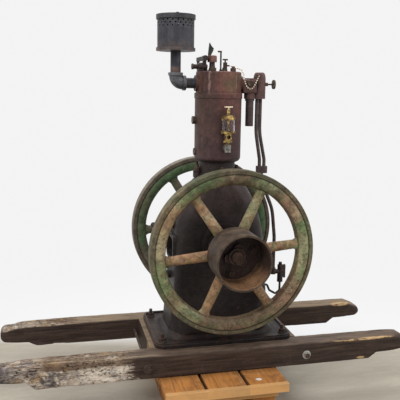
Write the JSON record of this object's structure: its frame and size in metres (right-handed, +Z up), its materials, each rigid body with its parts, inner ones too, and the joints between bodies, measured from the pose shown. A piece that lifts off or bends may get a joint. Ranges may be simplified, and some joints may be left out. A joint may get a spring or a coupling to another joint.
{
  "type": "stationary petrol engine",
  "caption": "Old vertical stationary petrol engine with spoked flywheels, belt pulley, drum muffler and sight oiler, on timber skids and a low timber stand.",
  "frame": {"origin": "on the floor, straight below the cylinder's axis", "axes": "+X along the skids towards the mixer side, +Y along the crankshaft away from the belt pulley, +Z up"},
  "size_m": [1.594, 0.762, 1.477],
  "materials": {
    "stand_timber": "bare sawn softwood",
    "skid_timber": "old oil-soaked timber, weathered at one end",
    "bolt_steel": "rusted steel",
    "crankcase_iron": "old dark paint and oil on cast iron",
    "shaft_steel": "turned steel, rusted",
    "wheel_iron": "worn green paint over rusty cast iron",
    "pulley_iron": "bare rusty cast iron",
    "cylinder_iron": "red-brown old paint on cast iron",
    "valve_iron": "dark oily iron",
    "pipe_iron": "blue-black pipe with light rust",
    "muffler_sheet": "dark blue-grey paint",
    "nipple_zinc": "dull zinc-coated",
    "bright_brass": "polished",
    "old_brass": "dull, tarnished",
    "oiler_glass": "clear"
  },
  "bodies": {
    "root": {"deck_boards": "stand_timber", "stand_bearers": "stand_timber", "stand_runners": "stand_timber", "near_skid": "skid_timber", "far_skid": "skid_timber", "cross_timbers": "skid_timber", "frame_bolts": "bolt_steel", "stud_nuts": "bolt_steel", "trip_lever": "bolt_steel", "push_rod": "bolt_steel", "rocker_arm": "bolt_steel", "crankcase": "crankcase_iron", "main_bearings": "crankcase_iron", "fuel_pump": "crankcase_iron", "control_lever": "crankcase_iron", "drain_pipe": "crankcase_iron", "cylinder": "cylinder_iron", "cylinder_head": "cylinder_iron", "mixer_body": "cylinder_iron", "mixer_bowl": "cylinder_iron", "valve_cap": "cylinder_iron", "valve_guide": "valve_iron", "rocker_bracket": "valve_iron", "exhaust_pipes": "pipe_iron", "exhaust_elbow": "pipe_iron", "air_intake_pipe": "pipe_iron", "supply_pipes": "pipe_iron", "muffler_base": "muffler_sheet", "muffler_shell": "muffler_sheet", "muffler_top": "muffler_sheet", "oiler_nipple": "nipple_zinc", "oiler_body": "bright_brass", "oiler_cap": "bright_brass", "head_fittings": "old_brass", "plug_chain": "old_brass", "priming_plug": "old_brass", "oiler_glass": "oiler_glass"},
    "crank": {"crankshaft": "shaft_steel", "shaft_keys": "shaft_steel", "near_flywheel": "wheel_iron", "far_flywheel": "wheel_iron", "pulley": "pulley_iron"},
    "needle": {"needle_valve": "old_brass"},
    "oiler_toggle": {"oiler_lever": "old_brass"},
    "petcock_key": {"petcock_handle": "old_brass"},
    "cock_arm": {"cock_handle": "crankcase_iron"}
  },
  "joints": [
    {"name": "crank_spin", "type": "hinge", "parent": "root", "child": "crank", "pos_m": [0, 0, 0.612], "axis": [0, 1, 0], "continuous": true},
    {"name": "needle_turn", "type": "hinge", "parent": "root", "child": "needle", "pos_m": [0.2, 0, 1.219], "axis": [1, 0, 0], "range_deg": [0, 360]},
    {"name": "oiler_flip", "type": "hinge", "parent": "root", "child": "oiler_toggle", "pos_m": [0.008, -0.119, 1.1215], "axis": [1, 0, 0], "range_deg": [0, 90]},
    {"name": "petcock_turn", "type": "hinge", "parent": "root", "child": "petcock_key", "pos_m": [0.025, 0, 1.305], "axis": [0, 0, 1], "range_deg": [0, 90]},
    {"name": "cock_turn", "type": "hinge", "parent": "root", "child": "cock_arm", "pos_m": [0.2968, 0, 0.459], "axis": [1, 0, 0], "range_deg": [0, 90]}
  ]
}
